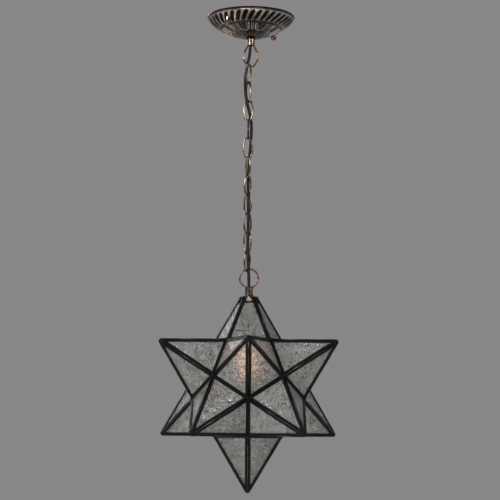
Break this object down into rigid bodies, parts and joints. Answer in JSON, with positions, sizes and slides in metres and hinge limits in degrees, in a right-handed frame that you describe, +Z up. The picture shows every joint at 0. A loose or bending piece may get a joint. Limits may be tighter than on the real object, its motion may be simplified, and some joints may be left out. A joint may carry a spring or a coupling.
{
  "type": "star pendant light",
  "caption": "Chain-hung pendant light: a pointed star lantern of clear rippled glass panes in black came, with a socket and candle bulb, under a round stepped bronze canopy.",
  "frame": {"origin": "centre of the ceiling face of the box strap, which is the centre of the canopy's rim plane", "axes": "+Z up to the ceiling, -Y towards the viewer of the picture, +X to the viewer's right"},
  "size_m": [0.307, 0.3224, 0.8475],
  "materials": {
    "clear_glass": "clear, rippled on both faces",
    "black_came": "black patina over solder, slightly glossy",
    "antique_bronze": "dark antique bronze with rubbed highlights",
    "dark_chain": "dark bronze, satin",
    "zinc": "bright zinc plate",
    "brass": "plain turned brass",
    "cord_plastic": "dark clear-coated cord",
    "lead_plastic": "matt",
    "socket_black": "moulded phenolic",
    "socket_paper": "dark insulating sleeve",
    "bulb_frost": "warm frosted"
  },
  "bodies": {
    "ceiling_strap": {"box_strap": "zinc"},
    "canopy": {"canopy_strap": "zinc", "strap_eyelet": "brass", "ground_screw": "brass", "canopy_studs": "zinc", "stud_nuts": "zinc", "canopy": "antique_bronze", "canopy_nipple": "zinc", "canopy_nut": "zinc", "canopy_loop": "antique_bronze", "power_cord": "cord_plastic", "cord_leads": "lead_plastic"},
    "ball_nut_front": {"ball_nut_front": "antique_bronze"},
    "ball_nut_rear": {"ball_nut_rear": "antique_bronze"},
    "link_01": {"chain_link_01": "dark_chain"},
    "link_02": {"chain_link_02": "dark_chain"},
    "link_03": {"chain_link_03": "dark_chain"},
    "link_04": {"chain_link_04": "dark_chain"},
    "link_05": {"chain_link_05": "dark_chain"},
    "link_06": {"chain_link_06": "dark_chain"},
    "link_07": {"chain_link_07": "dark_chain"},
    "link_08": {"chain_link_08": "dark_chain"},
    "link_09": {"chain_link_09": "dark_chain"},
    "link_10": {"chain_link_10": "dark_chain"},
    "link_11": {"chain_link_11": "dark_chain"},
    "star": {"glass_top": "clear_glass", "glass_upper_0": "clear_glass", "glass_upper_72": "clear_glass", "glass_upper_216": "clear_glass", "glass_upper_288": "clear_glass", "glass_lower_36": "clear_glass", "glass_lower_108": "clear_glass", "glass_lower_180": "clear_glass", "glass_lower_252": "clear_glass", "glass_lower_324": "clear_glass", "glass_bottom": "clear_glass", "ridge_came_top": "black_came", "ridge_came_upper": "black_came", "ridge_came_lower": "black_came", "ridge_came_bottom": "black_came", "valley_came": "black_came", "door_opening_rails": "black_came", "solder_tips": "black_came", "hinge_leaf_fixed": "black_came", "hinge_pin": "black_came", "star_loop": "antique_bronze", "check_ring": "antique_bronze", "star_cap": "antique_bronze", "star_washer": "zinc", "star_nut": "zinc", "star_nipple": "zinc", "socket_body": "socket_black", "socket_sleeve": "socket_paper"},
    "door": {"glass_upper_144": "clear_glass", "door_came": "black_came", "door_solder_tip": "black_came", "hinge_leaf_door": "black_came", "door_catch": "black_came"},
    "bulb": {"bulb_base": "brass", "bulb_glass": "bulb_frost"}
  },
  "joints": [
    {"name": "strap_swivel", "type": "hinge", "parent": "ceiling_strap", "child": "canopy", "pos_m": [0, 0, -0.001], "axis": [0, 0, 1], "range_deg": [-60, 60]},
    {"name": "ball_nut_front_turn", "type": "hinge", "parent": "canopy", "child": "ball_nut_front", "pos_m": [-0.04154, -0.05129, -0.02], "axis": [0, 0, 1], "continuous": true},
    {"name": "ball_nut_rear_turn", "type": "hinge", "parent": "canopy", "child": "ball_nut_rear", "pos_m": [0.04154, 0.05129, -0.02], "axis": [0, 0, 1], "continuous": true},
    {"name": "link_01_swing", "type": "hinge", "parent": "canopy", "child": "link_01", "pos_m": [-0.0035, 0, -0.09092], "axis": [-0.848, 0.5299, 0], "range_deg": [-20, 20], "deforming": ["power_cord"]},
    {"name": "link_02_swing", "type": "hinge", "parent": "link_01", "child": "link_02", "pos_m": [-0.0035, 0, -0.12215], "axis": [0.866, 0.5, 0], "range_deg": [-20, 20]},
    {"name": "link_03_swing", "type": "hinge", "parent": "link_02", "child": "link_03", "pos_m": [-0.0035, 0, -0.1561], "axis": [0, -1, 0], "range_deg": [-20, 20]},
    {"name": "link_04_swing", "type": "hinge", "parent": "link_03", "child": "link_04", "pos_m": [-0.0035, 0, -0.19005], "axis": [-0.9994, 0.0349, 0], "range_deg": [-20, 20]},
    {"name": "link_05_swing", "type": "hinge", "parent": "link_04", "child": "link_05", "pos_m": [-0.0035, 0, -0.224], "axis": [0, -1, 0], "range_deg": [-20, 20]},
    {"name": "link_06_swing", "type": "hinge", "parent": "link_05", "child": "link_06", "pos_m": [-0.0035, 0, -0.25795], "axis": [0.866, 0.5, 0], "range_deg": [-20, 20]},
    {"name": "link_07_swing", "type": "hinge", "parent": "link_06", "child": "link_07", "pos_m": [-0.0035, 0, -0.2919], "axis": [-0.6947, 0.7193, 0], "range_deg": [-20, 20]},
    {"name": "link_08_swing", "type": "hinge", "parent": "link_07", "child": "link_08", "pos_m": [-0.0035, 0, -0.32585], "axis": [0.6157, 0.788, 0], "range_deg": [-20, 20]},
    {"name": "link_09_swing", "type": "hinge", "parent": "link_08", "child": "link_09", "pos_m": [-0.0035, 0, -0.3598], "axis": [0.6157, -0.788, 0], "range_deg": [-20, 20]},
    {"name": "link_10_swing", "type": "hinge", "parent": "link_09", "child": "link_10", "pos_m": [-0.0035, 0, -0.39375], "axis": [-0.6157, -0.788, 0], "range_deg": [-20, 20]},
    {"name": "link_11_swing", "type": "hinge", "parent": "link_10", "child": "link_11", "pos_m": [-0.0035, 0, -0.4277], "axis": [0.788, -0.6157, 0], "range_deg": [-20, 20]},
    {"name": "star_swing", "type": "hinge", "parent": "link_11", "child": "star", "pos_m": [-0.0035, 0, -0.46165], "axis": [0, 1, 0], "range_deg": [-12, 12]},
    {"name": "door_hinge", "type": "hinge", "parent": "star", "child": "door", "pos_m": [0.08171, 0.02655, -0.61509], "axis": [0.5, 0.1625, -0.8507], "range_deg": [0, 100]},
    {"name": "bulb_turn", "type": "hinge", "parent": "star", "child": "bulb", "pos_m": [0, 0, -0.58319], "axis": [0, 0, 1], "continuous": true}
  ]
}
